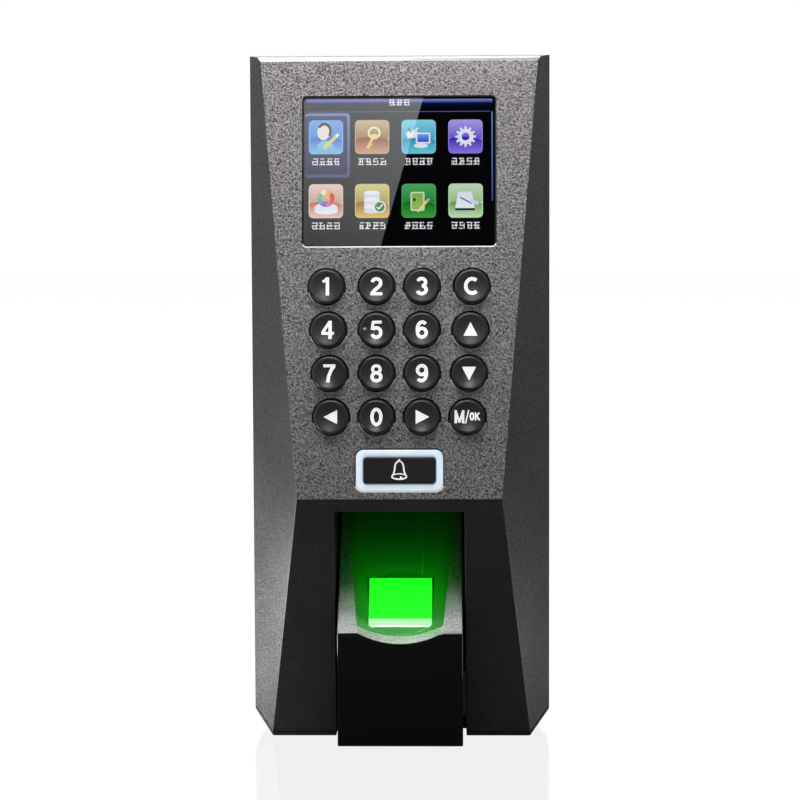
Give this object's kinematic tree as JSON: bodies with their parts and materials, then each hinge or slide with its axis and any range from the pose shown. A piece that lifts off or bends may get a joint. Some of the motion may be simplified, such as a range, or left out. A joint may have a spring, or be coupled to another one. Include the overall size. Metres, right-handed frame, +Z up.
{
  "type": "fingerprint scanner terminal",
  "caption": "Wall-mounted fingerprint access terminal: faceted grey housing, small colour screen, round keypad, door bell button and a lit finger reader in a recess.",
  "frame": {"origin": "middle of the wall plate's back face, where the terminal meets the wall, at half its height", "axes": "+Z up the housing, -Y out of the wall towards the user, +X to the user's right"},
  "size_m": [0.0804, 0.0423, 0.183],
  "materials": {
    "plated_steel": "zinc plated sheet",
    "dark_shell": "fine textured ABS",
    "grey_shell": "coarse sand-textured, metallic grey paint",
    "window_glass": "clear polycarbonate, black printed border",
    "black_foam": "black foam tape",
    "lcd": "lit colour display",
    "black_plastic": "black moulded plastic",
    "screw_steel": "nickel plated",
    "key_plastic": "satin black, white legend",
    "lit_ring": "lit pale blue-white light guide",
    "silicone": "translucent grey silicone",
    "circuit_board": "green solder mask",
    "gloss_black": "polished black",
    "lit_glass": "polished prism lit green",
    "chip_epoxy": "moulded epoxy",
    "relay_plastic": "blue housing",
    "cell_steel": "bright nickel",
    "ivory_nylon": "natural nylon",
    "usb_steel": "bright tin plate",
    "black_rubber": "soft black rubber",
    "amber_film": "polyimide ribbon",
    "grey_film": "flat ribbon",
    "cable_vinyl": "black vinyl"
  },
  "bodies": {
    "terminal": {"wall_plate": "plated_steel", "rear_cover": "dark_shell", "front_shell": "grey_shell", "screen_window": "window_glass", "window_tape": "black_foam", "lcd_panel": "lcd", "lcd_holder": "black_plastic", "lcd_screws": "screw_steel", "bell_light_ring": "lit_ring", "keypad_membrane": "silicone", "keypad_board": "circuit_board", "keypad_screws": "screw_steel", "reader_housing": "gloss_black", "sensor_glass": "lit_glass", "sensor_light_board": "circuit_board", "sensor_camera": "black_plastic", "reader_base": "black_plastic", "reader_screws": "screw_steel", "main_board": "circuit_board", "board_screws": "screw_steel", "processor_chips": "chip_epoxy", "lock_relay": "relay_plastic", "backup_battery": "cell_steel", "buzzer": "black_plastic", "wiring_connectors": "ivory_nylon", "speaker": "black_plastic", "usb_port": "usb_steel", "tamper_switch": "black_plastic", "case_screws": "screw_steel", "lock_screw": "screw_steel", "lcd_ribbon": "amber_film", "keypad_ribbon": "grey_film", "ribbon_sockets": "ivory_nylon", "reader_cable": "cable_vinyl"},
    "key_left": {"key_left": "key_plastic"},
    "key_0": {"key_0": "key_plastic"},
    "key_right": {"key_right": "key_plastic"},
    "key_ok": {"key_ok": "key_plastic"},
    "key_7": {"key_7": "key_plastic"},
    "key_8": {"key_8": "key_plastic"},
    "key_9": {"key_9": "key_plastic"},
    "key_down": {"key_down": "key_plastic"},
    "key_4": {"key_4": "key_plastic"},
    "key_5": {"key_5": "key_plastic"},
    "key_6": {"key_6": "key_plastic"},
    "key_up": {"key_up": "key_plastic"},
    "key_1": {"key_1": "key_plastic"},
    "key_2": {"key_2": "key_plastic"},
    "key_3": {"key_3": "key_plastic"},
    "key_clear": {"key_clear": "key_plastic"},
    "bell_key": {"bell_key": "key_plastic"},
    "tamper_plunger": {"tamper_plunger": "ivory_nylon"},
    "usb_cover": {"usb_cover": "black_rubber"}
  },
  "joints": [
    {"name": "key_left_press", "type": "slide", "parent": "terminal", "child": "key_left", "axis": [0, 0.9898, -0.1426], "range_m": [0, 0.001], "stiffness_N_per_m": 900},
    {"name": "key_0_press", "type": "slide", "parent": "terminal", "child": "key_0", "axis": [0, 0.9898, -0.1426], "range_m": [0, 0.001], "stiffness_N_per_m": 900},
    {"name": "key_right_press", "type": "slide", "parent": "terminal", "child": "key_right", "axis": [0, 0.9898, -0.1426], "range_m": [0, 0.001], "stiffness_N_per_m": 900},
    {"name": "key_ok_press", "type": "slide", "parent": "terminal", "child": "key_ok", "axis": [0, 0.9898, -0.1426], "range_m": [0, 0.001], "stiffness_N_per_m": 900},
    {"name": "key_7_press", "type": "slide", "parent": "terminal", "child": "key_7", "axis": [0, 0.9898, -0.1426], "range_m": [0, 0.001], "stiffness_N_per_m": 900},
    {"name": "key_8_press", "type": "slide", "parent": "terminal", "child": "key_8", "axis": [0, 0.9898, -0.1426], "range_m": [0, 0.001], "stiffness_N_per_m": 900},
    {"name": "key_9_press", "type": "slide", "parent": "terminal", "child": "key_9", "axis": [0, 0.9898, -0.1426], "range_m": [0, 0.001], "stiffness_N_per_m": 900},
    {"name": "key_down_press", "type": "slide", "parent": "terminal", "child": "key_down", "axis": [0, 0.9898, -0.1426], "range_m": [0, 0.001], "stiffness_N_per_m": 900},
    {"name": "key_4_press", "type": "slide", "parent": "terminal", "child": "key_4", "axis": [0, 0.9898, -0.1426], "range_m": [0, 0.001], "stiffness_N_per_m": 900},
    {"name": "key_5_press", "type": "slide", "parent": "terminal", "child": "key_5", "axis": [0, 0.9898, -0.1426], "range_m": [0, 0.001], "stiffness_N_per_m": 900},
    {"name": "key_6_press", "type": "slide", "parent": "terminal", "child": "key_6", "axis": [0, 0.9898, -0.1426], "range_m": [0, 0.001], "stiffness_N_per_m": 900},
    {"name": "key_up_press", "type": "slide", "parent": "terminal", "child": "key_up", "axis": [0, 0.9898, -0.1426], "range_m": [0, 0.001], "stiffness_N_per_m": 900},
    {"name": "key_1_press", "type": "slide", "parent": "terminal", "child": "key_1", "axis": [0, 0.9898, -0.1426], "range_m": [0, 0.001], "stiffness_N_per_m": 900},
    {"name": "key_2_press", "type": "slide", "parent": "terminal", "child": "key_2", "axis": [0, 0.9898, -0.1426], "range_m": [0, 0.001], "stiffness_N_per_m": 900},
    {"name": "key_3_press", "type": "slide", "parent": "terminal", "child": "key_3", "axis": [0, 0.9898, -0.1426], "range_m": [0, 0.001], "stiffness_N_per_m": 900},
    {"name": "key_clear_press", "type": "slide", "parent": "terminal", "child": "key_clear", "axis": [0, 0.9898, -0.1426], "range_m": [0, 0.001], "stiffness_N_per_m": 900},
    {"name": "bell_key_press", "type": "slide", "parent": "terminal", "child": "bell_key", "axis": [0, 0.9898, -0.1426], "range_m": [0, 0.0008], "stiffness_N_per_m": 900},
    {"name": "tamper_plunger_press", "type": "slide", "parent": "terminal", "child": "tamper_plunger", "axis": [0, -1, 0], "range_m": [0, 0.0015], "stiffness_N_per_m": 300},
    {"name": "usb_cover_pull", "type": "slide", "parent": "terminal", "child": "usb_cover", "axis": [0, 0, -1], "range_m": [0, 0.0065]}
  ]
}
